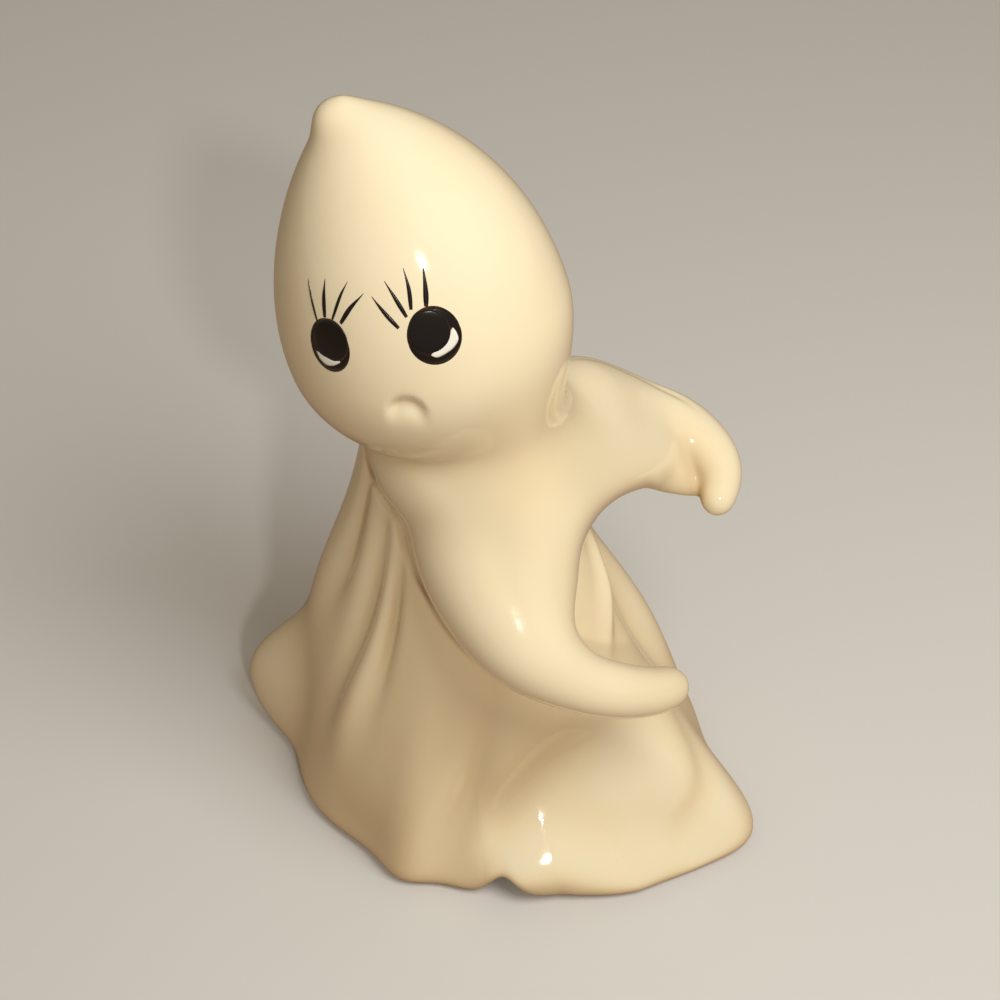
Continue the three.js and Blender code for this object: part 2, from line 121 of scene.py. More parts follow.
def ledge(angle, height):
    round_it = angle % 360
    begins = 1 / (1 + np.exp((LEDGE["from"] - round_it) / LEDGE["end_softness"]))
    ends = 1 / (1 + np.exp((round_it - LEDGE["to"]) / LEDGE["end_softness"]))
    left = np.clip((LEDGE["top_at"] - round_it) / LEDGE["drop_over"], 0, 1.3)
    fall_line = LEDGE["height"] - LEDGE["drop"] * left ** 2
    dip = np.clip((round_it - LEDGE["dip_from"]) / LEDGE["dip_over"], 0, 1)
    brim_line = LEDGE["brim_height"] - LEDGE["brim_dip"] * dip
    out = LEDGE["brim"] * bell(height - brim_line, LEDGE["brim_spread"])
    fall = LEDGE["fall_in"] * bell(height - fall_line, LEDGE["fall_spread"])
    return begins * ends * (out - fall)


def gown_radius(angle, height, fold_share):
    a = np.radians(angle)
    hem = 1 / np.hypot(np.cos(a) / HEM_HALF[0], np.sin(a) / HEM_HALF[1])
    in_front = bell(turn_between(angle, FRONT_FLARE["angle"]), FRONT_FLARE["half_width"])
    flare = GOWN_FLARE + FRONT_FLARE["more"] * in_front
    opening = np.clip(1 - height / GOWN_HEIGHT, 0, None) ** flare
    radius = NECK_RADIUS + (hem - NECK_RADIUS) * opening
    for at, sweep, half_width, reach, peak, spread in GOWN_FOLDS:
        across = bell(turn_between(angle, at + sweep * height), half_width)
        radius = radius + fold_share * reach * across * bell(height - peak, spread)
    return radius + fold_share * ledge(angle, height)


def gown_polar(p):
    """How far each point is from the leaning middle line of the gown, and at which angle."""
    share = p[:, 2] / GOWN_HEIGHT
    dx = p[:, 0] - HEM_CENTRE[0] - NECK_LEAN[0] * share
    dy = p[:, 1] - HEM_CENTRE[1] - NECK_LEAN[1] * share
    return np.hypot(dx, dy), np.degrees(np.arctan2(dy, dx))


def gown_form(p):
    r, angle = gown_polar(p)
    height = np.clip(p[:, 2], 0, GOWN_HEIGHT)
    side = (r - gown_radius(angle, height, 1.0)) * SLOPE_SHARE
    return soft_cut(side, GOWN_HEIGHT - p[:, 2], SHOULDER_ROUNDING)


def gown_hollow(p):
    r, angle = gown_polar(p)
    height = np.clip(p[:, 2], 0, GOWN_HEIGHT)
    side = (r - gown_radius(angle, height, INNER_FOLD_SHARE) + CAST_WALL) * SLOPE_SHARE
    return np.maximum(side, p[:, 2] - GOWN_HEIGHT - HOLLOW_RISES)


def hem_line(p):
    angle = gown_polar(p)[1]
    return HEM_ARCH["height"] * bell(turn_between(angle, HEM_ARCH["angle"]), HEM_ARCH["half_width"])


# The hooded head
# A second hollow casting, round below and drawn up to a soft point. It leans to the left and back, and is
# luted to the top of the gown while the clay is wet. The mouth is a dimple pressed in with a modelling tool.
NECK = np.array([HEM_CENTRE[0] + NECK_LEAN[0], HEM_CENTRE[1] + NECK_LEAN[1], GOWN_HEIGHT])
HEAD_RADIUS = 22.7
HEAD_DEPTH_SHARE = 0.95
HEAD_BELOW = 24.1
HEAD_ABOVE = 38.4
HOOD_TAPER = 0.76
CHIN_TAPER = 0.7
HOOD_BEND = 0.6
HEAD_LEAN = (16.6, 10.3)
HEAD_CENTRE = NECK + np.array([-1.5, -1.0, 16.7])
FACE_TURN = -11.0
FACE_HEIGHT = 8.8

lean_left, lean_back = np.radians(HEAD_LEAN)
HEAD_AXIS = np.array([-math.sin(lean_left), math.sin(lean_back), math.cos(lean_left) * math.cos(lean_back)])
HEAD_AXIS /= np.linalg.norm(HEAD_AXIS)
HEAD_RIGHT = np.array([1.0, 0, 0]) - HEAD_AXIS[0] * HEAD_AXIS
HEAD_RIGHT /= np.linalg.norm(HEAD_RIGHT)
HEAD_FORWARD = np.cross(HEAD_RIGHT, HEAD_AXIS)

# The point of the hood ends in a small soft knob, a little to the left.
KNOB_CENTRE = HEAD_CENTRE + np.array([-12.2, 6.3, 33.2])
KNOB_RADIUS = 2.7
KNOB_JOIN = 5.0


def hood_bend(along):
    """The hood bows to the right by HOOD_BEND, two thirds of the way up."""
    share = np.clip(along / HEAD_ABOVE, 0, 1)
    return 27 / 4 * HOOD_BEND * share ** 2 * (1 - share)


def head_form(p, shrink=0.0):
    """The egg of the head with its knob, or the hollow inside it when it is shrunk by the wall."""
    rel = p - HEAD_CENTRE
    along = rel @ HEAD_AXIS
    radius = HEAD_RADIUS - shrink
    rho = np.hypot(rel @ HEAD_RIGHT - hood_bend(along), (rel @ HEAD_FORWARD) / HEAD_DEPTH_SHARE) / radius
    above = along > 0
    reach = np.where(above, HEAD_ABOVE, HEAD_BELOW) - shrink
    power = np.where(above, 1 / HOOD_TAPER, 1 / CHIN_TAPER)
    share = along / reach
    level = share ** 2 + rho ** power - 1
    slope = np.hypot(2 * share / reach, power * rho ** (power - 1) / radius)
    egg = level / np.maximum(slope, 0.03)
    if shrink:
        return egg
    return soft_union(egg, np.linalg.norm(p - KNOB_CENTRE, axis=1) - KNOB_RADIUS, KNOB_JOIN)


def face_point(across, up):
    """A place on the face, in millimetres to the right and up over the skin."""
    t = math.radians(FACE_TURN) + across / HEAD_RADIUS
    along = FACE_HEIGHT + up
    reach, taper = (HEAD_ABOVE, HOOD_TAPER) if along > 0 else (HEAD_BELOW, CHIN_TAPER)
    radius = HEAD_RADIUS * max(0.0, 1 - (along / reach) ** 2) ** taper
    return (HEAD_CENTRE + HEAD_AXIS * along + HEAD_RIGHT * (radius * math.sin(t) + hood_bend(along))
            + HEAD_FORWARD * radius * HEAD_DEPTH_SHARE * math.cos(t))


# The mouth is pressed in with the round end of a tool that is held from below, so that the upper edge of
# the dimple is steep and its floor runs out towards the chin.
MOUTH = face_point(0.7, -10.7)
MOUTH_DEPTH = 1.6
MOUTH_HALF_WIDTH = 2.5
MOUTH_TURN = math.radians(-14)
MOUTH_TOP = 1.5
MOUTH_BOW = 0.16
MOUTH_EDGE = 0.4
MOUTH_RUN_OUT = 2.8
MOUTH_REACH = (5.0, 8.0)


def mouth_press(p):
    rel = p - MOUTH
    right, up = rel @ HEAD_RIGHT, rel @ HEAD_AXIS
    across = right * math.cos(MOUTH_TURN) + up * math.sin(MOUTH_TURN)
    rise = up * math.cos(MOUTH_TURN) - right * math.sin(MOUTH_TURN)
    under = MOUTH_TOP - MOUTH_BOW * across ** 2 - rise
    near = np.clip((MOUTH_REACH[1] - np.linalg.norm(rel, axis=1)) / (MOUTH_REACH[1] - MOUTH_REACH[0]), 0, 1)
    upper_edge = 1 / (1 + np.exp(-np.clip(under / MOUTH_EDGE, -30, 30)))
    floor_slope = bell(np.maximum(under, 0), MOUTH_RUN_OUT)
    return MOUTH_DEPTH * near * upper_edge * floor_slope * np.exp(-(across / MOUTH_HALF_WIDTH) ** 4)


# The arms
# Two solid coils of clay, modelled by hand, laid on at the shoulders and smoothed down into the chest. They
# lie in one plane that tips 25 degrees towards the face, and reach round an open, upright space.
EMBRACE_TILT = math.radians(25)
ARM_UPRIGHT = np.array([0, -math.sin(EMBRACE_TILT), math.cos(EMBRACE_TILT)])

# Each place on an arm: its middle, counted from the neck, its half width in the plane of the embrace and its
# half height across that plane.
NEAR_ARM = [
    ((-0.8, -4, -7), 11.2, 10),
    ((5.0, -8.5, -14.0), 11.2, 11),
    ((7.9, -14.3, -21.0), 13.0, 10.9),
    ((10.0, -21.6, -26.8), 10.4, 9.4),
    ((13.4, -27.0, -30.9), 7.7, 7.6),
    ((20.3, -29.3, -36.3), 5.4, 5.4),
    ((27.4, -28.3, -40.9), 4.75, 4.75),
    ((33.6, -25.4, -44.9), 4.15, 4.15),
    ((37.2, -22.6, -47.2), 3.6, 3.6),
]
ARM_STEPS = 100
PAD_STEPS = 60


def through_places(places, spacing_power, steps):
    """Points and directions of a smooth line through the places, evenly stepped from place to place."""
    places = np.array(places, float)
    ends = np.vstack([2 * places[0] - places[1], places, 2 * places[-1] - places[-2]])
    points, directions = [], []
    for step in range(steps + 1):
        at = min(step / steps * (len(places) - 1), len(places) - 1 - 1e-9)
        i = int(at)
        t = at - i
        p0, p1, p2, p3 = ends[i:i + 4]
        gaps = [max(np.linalg.norm(b - a) ** spacing_power, 1e-6) for a, b in ((p0, p1), (p1, p2), (p2, p3))]
        m1 = ((p1 - p0) / gaps[0] - (p2 - p0) / (gaps[0] + gaps[1]) + (p2 - p1) / gaps[1]) * gaps[1]
        m2 = ((p2 - p1) / gaps[1] - (p3 - p1) / (gaps[1] + gaps[2]) + (p3 - p2) / gaps[2]) * gaps[1]
        c2 = -3 * p1 + 3 * p2 - 2 * m1 - m2
        c3 = 2 * p1 - 2 * p2 + m1 + m2
        points.append(p1 + m1 * t + c2 * t ** 2 + c3 * t ** 3)
        directions.append(m1 + 2 * c2 * t + 3 * c3 * t ** 2)
    directions = np.array(directions)
    return np.array(points), directions / np.linalg.norm(directions, axis=1)[:, None]


def near_arm_rails():
    """Two lines inside the arm and the radii round them: the arm is what is stretched between the two."""
    middles, tangents = through_places([NECK + np.array(s[0], float) for s in NEAR_ARM], 0.5, ARM_STEPS)
    halves = through_places([(s[1], s[2]) for s in NEAR_ARM], 0.0, ARM_STEPS)[0]
    sides = np.cross(tangents, ARM_UPRIGHT)
    sides /= np.linalg.norm(sides, axis=1)[:, None]
    radii = halves.min(1)
    lean = sides * (halves[:, 0] - radii)[:, None]
    return middles - lean, middles + lean, radii, radii


def swept_form(p, rails, margin=24.0, soft=0.5):
    """Distance from the skin of round-edged sections that are stretched between two lines, softly joined."""
    start, end, start_radii, end_radii = rails
    low = np.minimum(start, end).min(0) - start_radii.max() - margin
    high = np.maximum(start, end).max(0) + start_radii.max() + margin
    out = np.full(len(p), margin)
    inside = np.flatnonzero(np.all((p > low) & (p < high), axis=1))
    span = end - start
    span_squared = np.maximum((span ** 2).sum(1), 1e-6)
    start_squared = (start ** 2).sum(1)
    start_on_span = (start * span).sum(1)
    spacing = np.linalg.norm(np.gradient((start + end) / 2, axis=0), axis=1)
    at_a_time = 20000
    for first in range(0, len(inside), at_a_time):
        chosen = inside[first:first + at_a_time]
        q = p[chosen]
        on_span = q @ span.T - start_on_span
        share = np.clip(on_span / span_squared, 0, 1)
        away = (q ** 2).sum(1)[:, None] - 2 * (q @ start.T) + start_squared
        away = np.sqrt(np.maximum(away + share * (share * span_squared - 2 * on_span), 0))
        gap = away - start_radii - share * (end_radii - start_radii)
        least = gap.min(1)
        weight = spacing * np.exp((least[:, None] - gap) / soft)
        total = weight.sum(1)
        reach = np.maximum((weight * away).sum(1) / total, 1.0)
        out[chosen] = least - soft * np.log(total / np.sqrt(2 * np.pi * soft * reach))
    return np.minimum(out, margin)


# The sleeve of the far arm is a web of clay from the top line of the arm to the edge of the embrace. Each
# place: its middle from the neck, how far the web reaches to either side of it, and its half thickness.
SLEEVE = [
    ((5, -3.7, -4.6), 5.2, 7.8),
    ((14, -3.2, -13.1), 7.7, 7.0),
    ((21, 4.4, -18.3), 8.8, 7.0),
    ((28.5, 13.5, -23.0), 5.4, 6.1),
    ((35.5, 16.8, -27.0), 3.2, 4.2),
    ((42.3, 16.0, -30.2), 5.1, 1.9),
    ((45.6, 15.0, -31.2), 3.8, 1.5),
]
# The finger that the top line of the sleeve thickens to, and its hook: middle from the neck, and radius.
FINGER = [
    ((21, 15.5, -14.4), 4.6),
    ((28.5, 18.8, -20.3), 4.6),
    ((35.5, 20.6, -23.1), 4.4),
    ((42.3, 19.3, -26.3), 4.5),
    ((46.8, 14.9, -29.1), 4.3),
    ((48.0, 11.4, -31), 3.6),
    ((47.0, 7.2, -33), 3.0),
]


def sleeve_rails():
    middles = through_places([NECK + np.array(s[0], float) for s in SLEEVE], 0.5, PAD_STEPS)[0]
    halves = through_places([(s[1], s[2]) for s in SLEEVE], 0.0, PAD_STEPS)[0]
    up_the_sleeve = np.array([0, math.cos(EMBRACE_TILT), math.sin(EMBRACE_TILT)])
    reach = halves[:, :1] * up_the_sleeve
    return middles + reach, middles - reach, halves[:, 1], halves[:, 1]


# A pad of clay fills the chest out between the two arms, and runs on under the sleeve: its middle, counted
# from the neck, and its radius.
CHEST = [
    ((0, -5, -1.5), 8.0),
    ((5, -5, -6), 8.0),
    ((10, -4.5, -9.5), 7.2),
    ((17, -0.5, -14.5), 6.6),
    ((25, 7, -20.5), 5.6),
    ((33, 13.5, -26), 4.0),
]


def round_rails(stations):
    middles = through_places([NECK + np.array(s[0], float) for s in stations], 0.5, PAD_STEPS)[0]
    radii = through_places([(s[1], s[1]) for s in stations], 0.0, PAD_STEPS)[0][:, 0]
    return middles, middles, radii, radii


near_rails = near_arm_rails()
sleeve = sleeve_rails()
finger = round_rails(FINGER)
chest = round_rails(CHEST)

# The finger melts into the sleeve near the shoulder and stands clear of it at the hook. A fine crease runs
# along the back of the finger, and follows its line up to the step where the hook begins. Places along the
# arm are counted from the neck.
FINGER_JOIN = {"at_hook": 2.5, "at_shoulder": 12.0, "hook": 42, "shoulder": 24}
FINGER_CREASE = {"depth": 0.45, "half_width": 0.9, "begins": (18, 27), "ends": (46, 38), "above": (-1, 3)}
CREASE_FACES = {"back": 0.99, "down": 0.14}
STEPS_BEFORE_HOOK = 40


def far_arm_form(p):
    along = p[:, 0] - NECK[0]
    more = FINGER_JOIN["at_shoulder"] - FINGER_JOIN["at_hook"]
    reach = FINGER_JOIN["at_hook"] + more * ramp(along, FINGER_JOIN["hook"], FINGER_JOIN["shoulder"])
    line = finger[0][:STEPS_BEFORE_HOOK]
    back = p[:, 1] - np.interp(p[:, 0], line[:, 0], line[:, 1])
    up = p[:, 2] - np.interp(p[:, 0], line[:, 0], line[:, 2])
    off_crease = CREASE_FACES["back"] * back - CREASE_FACES["down"] * up
    crease = FINGER_CREASE["depth"] * bell(off_crease, FINGER_CREASE["half_width"])
    crease = crease * ramp(up, *FINGER_CREASE["above"])
    crease = crease * ramp(along, *FINGER_CREASE["begins"]) * ramp(along, *FINGER_CREASE["ends"])
    return soft_union(swept_form(p, sleeve), swept_form(p, finger) + crease, reach)


# The corner between the arms is cleaned out with the round end of a loop tool, held up and to the back.
LOOP_START = NECK + np.array([33.8, -16.8, -21.9])
LOOP_WAY = np.array([0.0741, 0.6829, -0.7268])
LOOP_RADIUS = 11.5
LOOP_WIDENS_OVER = 335
LOOP_CLEARS_ARMS = 9.0
LOOP_HALF_WAY = 10.0


def loop_form(p):
    rel = p - LOOP_START
    along = rel @ LOOP_WAY
    away = np.linalg.norm(rel - along[:, None] * LOOP_WAY, axis=1)
    radius = LOOP_RADIUS * (1 + along / LOOP_WIDENS_OVER)
    return away - radius + LOOP_CLEARS_ARMS * ramp(rel[:, 0], 0, LOOP_HALF_WAY)


# Luting and sponging
# The wet pieces are joined with slip, and the joins are sponged down. They are drawn out softly where the
# head runs into the shoulder and the two arms meet on the chest, and left crisp where a tool can reach.
CHEST_JOIN = 14.0
ARMS_JOIN = 18.0
LOOP_ROUNDING = 5.0
# A tool is run along the near arm where it lies on the gown, at its upper left end.
ARM_GROOVE = {"depth": 0.5, "off_the_arm": 1.7, "half_width": 0.8, "above": (44, 52), "left_of": (5, -1)}
# Each of these joins is crisp on the left and soft on the right, between the two values.
RIGHT_SIDE = (-13, 7)
BODY_JOIN = {"crisp": 1.2, "soft": 8.0, "above": (73, 89)}
HEAD_JOIN = {"crisp": 3.0, "soft": 22.0, "in_front_of": (26, -7)}
NECK_OPENING_JOIN = 2.0
INNER_EDGE = 1.0


def clay_forms(p):
    return np.stack([gown_form(p), head_form(p), swept_form(p, near_rails), far_arm_form(p)])


def drawn_out(join, share):
    return join["crisp"] + (join["soft"] - join["crisp"]) * share


def figure(p):
    gown, head, near, far = clay_forms(p)
    right = ramp(p[:, 0], *RIGHT_SIDE)
    arms = soft_union(soft_union(near, swept_form(p, chest), CHEST_JOIN), far, ARMS_JOIN)
    arms = soft_cut(arms, loop_form(p), LOOP_ROUNDING)
    groove = ARM_GROOVE["depth"] * bell(near - ARM_GROOVE["off_the_arm"], ARM_GROOVE["half_width"])
    groove = groove * ramp(p[:, 2], *ARM_GROOVE["above"]) * ramp(p[:, 0], *ARM_GROOVE["left_of"])
    body_reach = drawn_out(BODY_JOIN, right * ramp(p[:, 2], *BODY_JOIN["above"]))
    body = soft_union(gown + groove, arms, body_reach)
    head_reach = drawn_out(HEAD_JOIN, right * ramp(p[:, 1], *HEAD_JOIN["in_front_of"]))
    whole = soft_union(body, head, head_reach)
    whole = soft_cut(whole + mouth_press(p), p[:, 2] - hem_line(p), FOOT_ROUNDING)
    hollow = soft_union(gown_hollow(p), head_form(p, CAST_WALL), NECK_OPENING_JOIN)
    return soft_cut(whole, hollow, INNER_EDGE)


def slope_of(form, p, here, step=0.06):
    """The slope of a form at points where its value is known. On the skin it points out of the clay."""
    slope = np.empty_like(p)
    for axis in range(3):
        nudge = np.zeros(3)
        nudge[axis] = step
        slope[:, axis] = (form(p + nudge) - here) / step
    return slope


def settle(form, p, rounds):
    """Moves points along the slope of a form until they lie on its skin."""
    longest_move = 0.6
    for _ in range(rounds):
        here = form(p)
        slope = slope_of(form, p, here)
        steep = np.maximum((slope ** 2).sum(1), 0.05)
        p = p - slope * np.clip(here / steep, -longest_move, longest_move)[:, None]
    return p


def cast(form, low, high, step):
    """The skin of a form as points and four-sided faces, found on a grid and settled onto the form."""
    low = np.array(low, float)
    # A grid that is four times as wide finds where the skin is, and only there is the fine grid worked out.
    coarse = 4
    cells = np.ceil((np.array(high) - low) / (step * coarse)).astype(int) * coarse
    axes = [low[i] + step * np.arange(cells[i] + 1) for i in range(3)]
    rough = np.stack(np.meshgrid(*[a[::coarse] for a in axes], indexing="ij"), -1).reshape(-1, 3)
    rough = form(rough).reshape(cells // coarse + 1)
    nearest = []
    for count in cells:
        wide = (np.arange(count + 1) + coarse // 2) // coarse
        nearest.append(np.minimum(wide, count // coarse))
    value = rough[np.ix_(*nearest)].astype(float)
    close = np.abs(value) < step * coarse * 1.4
    at = np.argwhere(close)
    value[close] = form(low + step * at)
    inside = value < 0
    # Each grid edge that the skin crosses gives one face, between the points of the four cells round it.
    shape = np.array(value.shape) - 1
    total = np.zeros((int(np.prod(shape)), 3))
    count = np.zeros(int(np.prod(shape)))
    faces = []
    for axis in range(3):
        a, b = [d for d in range(3) if d != axis]
        if axis == 1:
            a, b = b, a
        ahead = np.roll(inside, -1, axis)
        change = inside != ahead
        last = [slice(None)] * 3
        last[axis] = -1
        change[tuple(last)] = False
        edge = np.argwhere(change)
        keep = np.all((edge > 0) & (edge < shape), axis=1)
        edge = edge[keep]
        start = value[tuple(edge.T)]
        end_at = edge.copy()
        end_at[:, axis] += 1
        end = value[tuple(end_at.T)]
        crossing = edge.astype(float)
        crossing[:, axis] += start / (start - end)
        around = []
        for da, db in ((1, 1), (0, 1), (0, 0), (1, 0)):
            cell = edge.copy()
            cell[:, a] -= da
            cell[:, b] -= db
            flat = np.ravel_multi_index(cell.T, shape)
            around.append(flat)
            for d in range(3):
                total[:, d] += np.bincount(flat, crossing[:, d], len(total))
            count += np.bincount(flat, minlength=len(total))
        quads = np.stack(around, 1)
        turned = start > 0
        quads[turned] = quads[turned][:, ::-1]
        faces.append(quads)
    used = np.flatnonzero(count)
    number = np.full(len(count), -1)
    number[used] = np.arange(len(used))
    points = low + step * total[used] / count[used][:, None]
    return settle(form, points, 2), number[np.concatenate(faces)]


FIGURE_LOW = (-51.5, -40, -1.5)
FIGURE_HIGH = (51, 38, 153)
CLAY_STEP = 0.6
points, faces = cast(figure, FIGURE_LOW, FIGURE_HIGH, CLAY_STEP)


def even_out(points, faces, rounds):
    """Draws each point towards the middle of its faces, then settles it on the figure again."""
    pull = 0.6
    for _ in range(rounds):
        middle = points[faces].mean(1)
        total = np.zeros_like(points)
        count = np.bincount(faces.ravel(), minlength=len(points))
        for d in range(3):
            total[:, d] = np.bincount(faces.ravel(), np.repeat(middle[:, d], 4), len(points))
        points = settle(figure, points + pull * (total / count[:, None] - points), 1)
    return points


points = even_out(points, faces, 2)
normals = slope_of(figure, points, figure(points))
normals /= np.linalg.norm(normals, axis=1)[:, None]


def off_each_piece(p):
    """How far each point is from the skin of the gown, the head, the near arm and the far arm."""
    gown, head, near, far = clay_forms(p)
    gown = np.minimum(gown, np.abs(gown_hollow(p)))
    head = np.minimum(np.abs(head), np.abs(head_form(p, CAST_WALL)))
    return np.stack([np.abs(gown), head, np.abs(near), np.abs(far)])


nearest_piece = off_each_piece(points[faces].mean(1)).argmin(0)

# The glaze
# A thick, glossy, slightly yellow cream glaze. It runs thin over ridges and edges, and has faint clouds and
# ripples from the firing. Its colour is darkened in the creases, as pooled glaze and painted shade together,
# and darkened towards the foot as painted shade.
CREAM_THIN = (0.92, 0.85, 0.66)
CREAM = (0.87, 0.73, 0.48)
# The darkest tone is pooled glaze and painted shade in the creases.
CREAM_POOLED_SHADE = (0.52, 0.33, 0.15)
CREAM_DEPTH = 0.45
CLOUD_SCALE = 55
CLOUD_STRENGTH = 0.16
RIPPLE_SCALE = 320
RIPPLE_HEIGHT = 0.0001
RIPPLE_STRENGTH = 0.25


def firing_waves():
    """Slow waves over the surface, as a mask. The glaze and the enamel both use it."""
    group = bpy.data.node_groups.new("firing_waves", "ShaderNodeTree")
    scale = group.interface.new_socket(name="Scale", in_out="INPUT", socket_type="NodeSocketFloat")
    scale.default_value = 1.0
    group.interface.new_socket(name="Mask", in_out="OUTPUT", socket_type="NodeSocketFloat")
    nodes, links = group.nodes, group.links
    enter = nodes.new("NodeGroupInput")
    leave = nodes.new("NodeGroupOutput")
    place = nodes.new("ShaderNodeTexCoord")
    noise = nodes.new("ShaderNodeTexNoise")
    noise.inputs["Detail"].default_value = 2
    links.new(place.outputs["Object"], noise.inputs["Vector"])
    links.new(enter.outputs["Scale"], noise.inputs["Scale"])
    links.new(noise.outputs["Fac"], leave.inputs["Mask"])
    return group


waves = firing_waves()


def add_waves(nodes, scale):
    node = nodes.new("ShaderNodeGroup")
    node.node_tree = waves
    node.inputs["Scale"].default_value = scale
    return node


def glaze_material(name, thin, body, pooled_shade):
    material = bpy.data.materials.new(name)
    material.use_nodes = True
    nodes, links = material.node_tree.nodes, material.node_tree.links
    shader = nodes["Principled BSDF"]
    # This attribute darkens the colour: pooled glaze and painted shade in the creases, painted shade towards
    # the foot.
    pool_and_shade = nodes.new("ShaderNodeAttribute")
    pool_and_shade.attribute_name = "pool_and_shade"
    tones = nodes.new("ShaderNodeValToRGB")
    tones.color_ramp.elements[0].color = (*thin, 1)
    tones.color_ramp.elements[1].color = (*pooled_shade, 1)
    tones.color_ramp.elements.new(CREAM_DEPTH).color = (*body, 1)
    clouds = add_waves(nodes, CLOUD_SCALE)
    centred = nodes.new("ShaderNodeMath")
    centred.operation = "SUBTRACT"
    centred.inputs[1].default_value = 0.5
    clouded = nodes.new("ShaderNodeMath")
    clouded.operation = "MULTIPLY_ADD"
    clouded.inputs[1].default_value = CLOUD_STRENGTH
    links.new(clouds.outputs["Mask"], centred.inputs[0])
    links.new(centred.outputs[0], clouded.inputs[0])
    links.new(pool_and_shade.outputs["Fac"], clouded.inputs[2])
    links.new(clouded.outputs[0], tones.inputs["Fac"])
    links.new(tones.outputs["Color"], shader.inputs["Base Color"])
    ripples = add_waves(nodes, RIPPLE_SCALE)
    bump = nodes.new("ShaderNodeBump")
    bump.inputs["Distance"].default_value = RIPPLE_HEIGHT
    bump.inputs["Strength"].default_value = RIPPLE_STRENGTH
    links.new(ripples.outputs["Mask"], bump.inputs["Height"])
    links.new(bump.outputs["Normal"], shader.inputs["Normal"])
    shader.inputs["Roughness"].default_value = 0.1
    shader.inputs["IOR"].default_value = 1.5
    shader.inputs["Coat Weight"].default_value = 0.3
    shader.inputs["Coat Roughness"].default_value = 0.03
    return material


cream_glaze = glaze_material("cream_glaze", CREAM_THIN, CREAM, CREAM_POOLED_SHADE)

# How deep the glaze lies and how much shade is painted on it: on open skin, what a crease adds as pooled
# glaze and painted shade, and the painted shade that it gains towards the foot.
GLAZE_OPEN = 0.3
CREASE_POOL_AND_SHADE = 0.75
FOOT_SHADE = 0.22
FOOT_SHADE_HEIGHTS = (85, 5)
CREASE_REACHES = (1.5, 3.0, 6.0)


def hollowness(p, n):
    """How far the clay closes in round each point: about 0 on open skin, up to 1 in a crease."""
    total = np.zeros(len(p))
    for reach in CREASE_REACHES:
        total += np.clip((reach - figure(p + n * reach)) / reach, -1, 1)
    return np.clip(total / len(CREASE_REACHES), -0.3, 1)


# The creases are darkened as pooled glaze and painted shade.
pool_and_shade_depth = GLAZE_OPEN + CREASE_POOL_AND_SHADE * hollowness(points, normals)
# The gown is darkened towards the foot as painted shade.
pool_and_shade_depth += FOOT_SHADE * ramp(points[:, 2], *FOOT_SHADE_HEIGHTS)


def clay_piece(name, chosen, node):
    """One piece of the figure: the faces that lie nearest to it, with the slope of the whole skin."""
    quads = faces[chosen]
    used = np.unique(quads)
    number = np.full(len(points), -1)
    number[used] = np.arange(len(used))
    mesh = bpy.data.meshes.new(name)
    mesh.from_pydata((points[used] * MM).tolist(), [], number[quads].tolist())
    mesh.polygons.foreach_set("use_smooth", np.ones(len(quads), bool))
    mesh.update()
    mesh.normals_split_custom_set_from_vertices(normals[used].tolist())
    # The darkening for pooled glaze and painted shade, which the glaze material reads.
    layer = mesh.attributes.new("pool_and_shade", "FLOAT", "POINT")
    layer.data.foreach_set("value", pool_and_shade_depth[used].astype(np.float32))
    piece = bpy.data.objects.new(name, mesh)
    bpy.context.scene.collection.objects.link(piece)
    mesh.materials.append(cream_glaze)
    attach(piece, "root")
    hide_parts(node)


CLAY_PIECES = (
    ("gown", "gown_shell"),
    ("hooded_head", "hood_head"),
    ("near_arm_coil", "near_arm"),
    ("far_arm_coil", "far_arm"),
)
for i, (name, node) in enumerate(CLAY_PIECES):
    clay_piece(name, nearest_piece == i, node)


# The painted eyes
# Overglaze enamel, brushed on the fired glaze and fired again. Each eye is a black outline, a white crescent
# and a round black iris, laid on one after the other. The strokes are a tenth of a millimetre thick.
BLACK_THIN = (0.05, 0.022, 0.012)
BLACK = (0.006, 0.004, 0.003)
WHITE_THIN = (0.6, 0.52, 0.42)
WHITE = (0.86, 0.83, 0.76)
STREAK_SCALE = 900
STREAK_STRENGTH = 0.35
FILM_COVERS = (0.2, 0.6)


def enamel_material(name, body, thin):
    material = bpy.data.materials.new(name)
    material.use_nodes = True
    nodes, links = material.node_tree.nodes, material.node_tree.links
    shader = nodes["Principled BSDF"]
    film = nodes.new("ShaderNodeAttribute")
    film.attribute_name = "film"
    streaks = add_waves(nodes, STREAK_SCALE)
    streaked = nodes.new("ShaderNodeMath")
    streaked.operation = "MULTIPLY_ADD"
    streaked.inputs[1].default_value = STREAK_STRENGTH
    tones = nodes.new("ShaderNodeValToRGB")
    tones.color_ramp.elements[0].color = (*thin, 1)
    tones.color_ramp.elements[0].position = FILM_COVERS[0]
    tones.color_ramp.elements[1].color = (*body, 1)
    tones.color_ramp.elements[1].position = FILM_COVERS[1]
    links.new(streaks.outputs["Mask"], streaked.inputs[0])
    links.new(film.outputs["Fac"], streaked.inputs[2])
    links.new(streaked.outputs[0], tones.inputs["Fac"])
    links.new(tones.outputs["Color"], shader.inputs["Base Color"])
    shader.inputs["Roughness"].default_value = 0.22
    return material


ENAMELS = {
    "black_enamel": enamel_material("black_enamel", BLACK, BLACK_THIN),
    "white_enamel": enamel_material("white_enamel", WHITE, WHITE_THIN),
}

# Each coat: how far its underside is off the glaze, and its thickness in the middle, in millimetres.
LINE_COAT = (0.02, 0.05)
WHITE_COAT = (0.08, 0.06)
IRIS_COAT = (0.07, 0.09)
LASH_COAT = (0.03, 0.08)
SUNK_IN_GLAZE = 0.05

# How finely the films are made, along and across the stroke.
OVAL_STEPS = 24
OVAL_CELLS = 12
STROKE_STEPS = 16
WHITE_CELLS = 5
LASH_CELLS = 3


def brush_line(places):
    return through_places(places, 0.0, STROKE_STEPS)[0]


